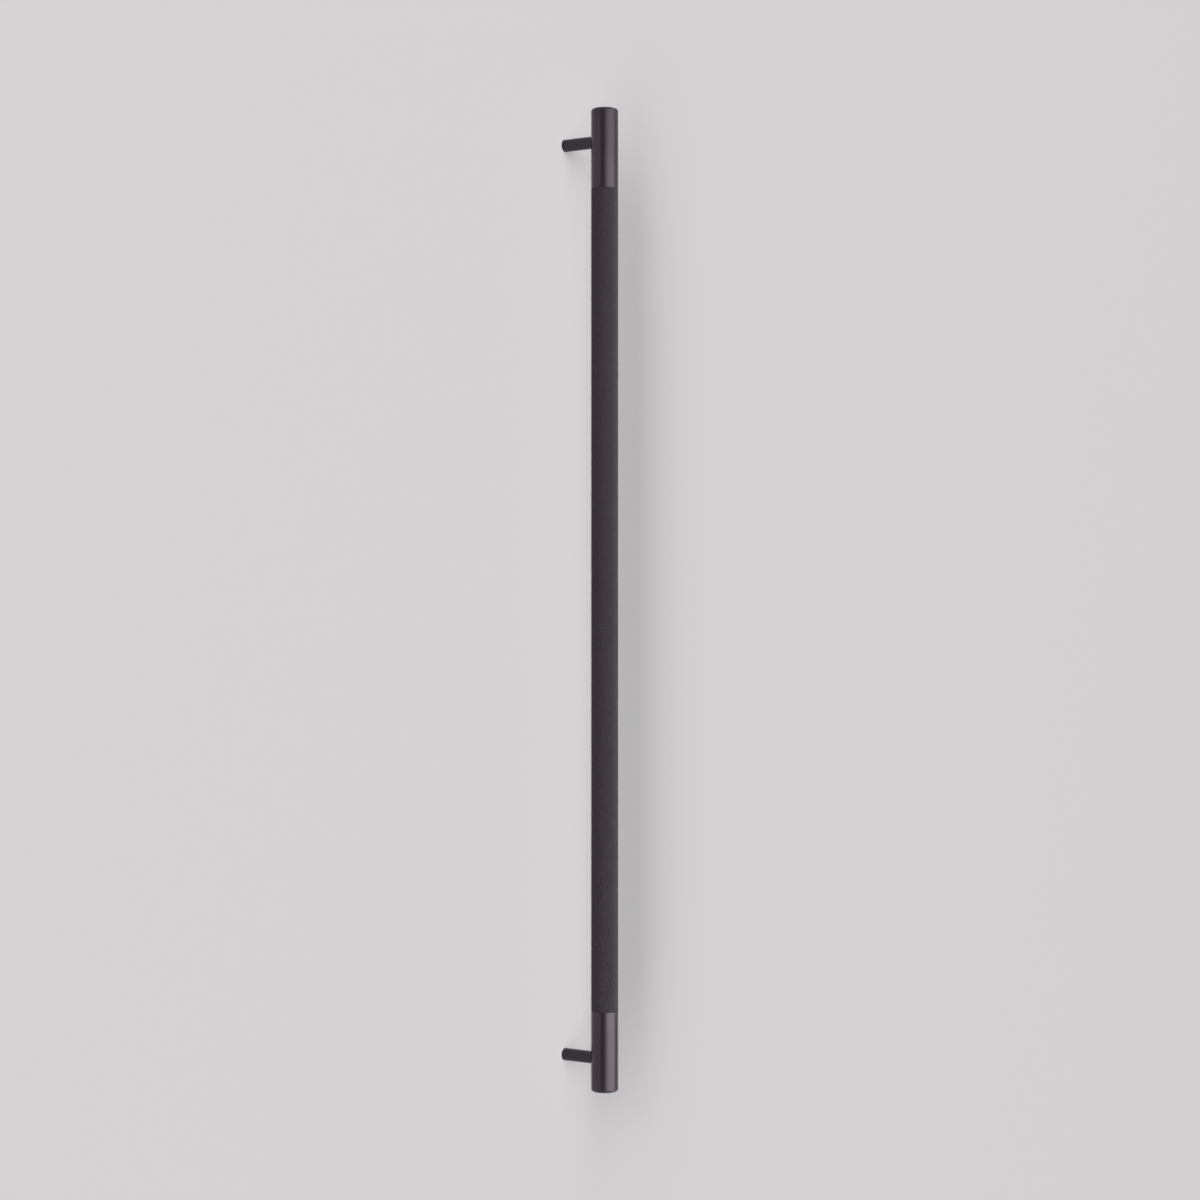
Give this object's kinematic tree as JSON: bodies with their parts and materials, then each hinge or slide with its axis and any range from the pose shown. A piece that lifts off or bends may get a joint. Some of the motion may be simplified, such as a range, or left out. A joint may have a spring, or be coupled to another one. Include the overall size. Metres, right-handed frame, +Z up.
{
  "type": "door pull handle",
  "caption": "Long round bar pull with a knurled grip, smooth turned ends and slim round posts that hold it off the door and take bolts from behind.",
  "frame": {"origin": "On the face of the door, midway between the two posts.", "axes": "+Z up along the bar, +Y into the door, +X to the right as seen from in front of the door."},
  "size_m": [0.022, 0.0494, 0.796],
  "materials": {
    "bar": "satin dark bronze over solid brass, knurled along the grip",
    "post": "satin dark bronze over solid brass",
    "screw": "plain steel"
  },
  "bodies": {
    "root": {"grip_bar": "bar", "upper_post": "post", "lower_post": "post", "upper_joining_screw": "screw", "lower_joining_screw": "screw"}
  },
  "joints": []
}
